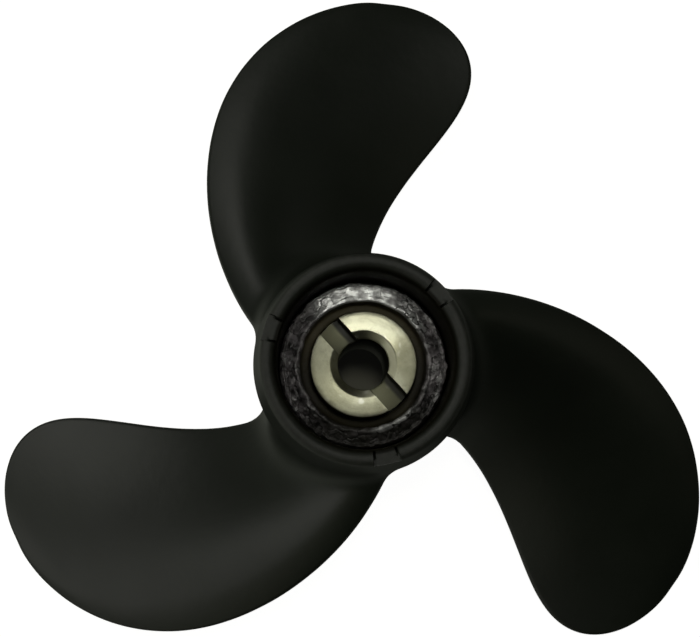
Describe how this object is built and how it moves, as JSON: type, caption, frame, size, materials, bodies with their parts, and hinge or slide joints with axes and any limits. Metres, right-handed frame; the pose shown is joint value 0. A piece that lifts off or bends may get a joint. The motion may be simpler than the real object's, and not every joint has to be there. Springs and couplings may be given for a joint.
{
  "type": "outboard boat propeller",
  "caption": "Pin-drive outboard boat propeller: black cast hub with swept blades, a rubber bush and a slotted brass sleeve.",
  "frame": {"origin": "on the shaft axis, at the centroid of the whole propeller", "axes": "+Z along the shaft axis, towards the forward end that the drive pin enters; the pin slot lies along X"},
  "size_m": [0.1715, 0.17, 0.066],
  "materials": {
    "black_paint": "satin black paint over cast aluminium, slightly uneven",
    "bush_rubber": "rough, lumpy black rubber with a worn shine",
    "sleeve_brass": "dull pale brass, machined and tarnished"
  },
  "bodies": {
    "root": {"propeller_casting": "black_paint", "rubber_bush": "bush_rubber", "drive_sleeve": "sleeve_brass"}
  },
  "joints": []
}
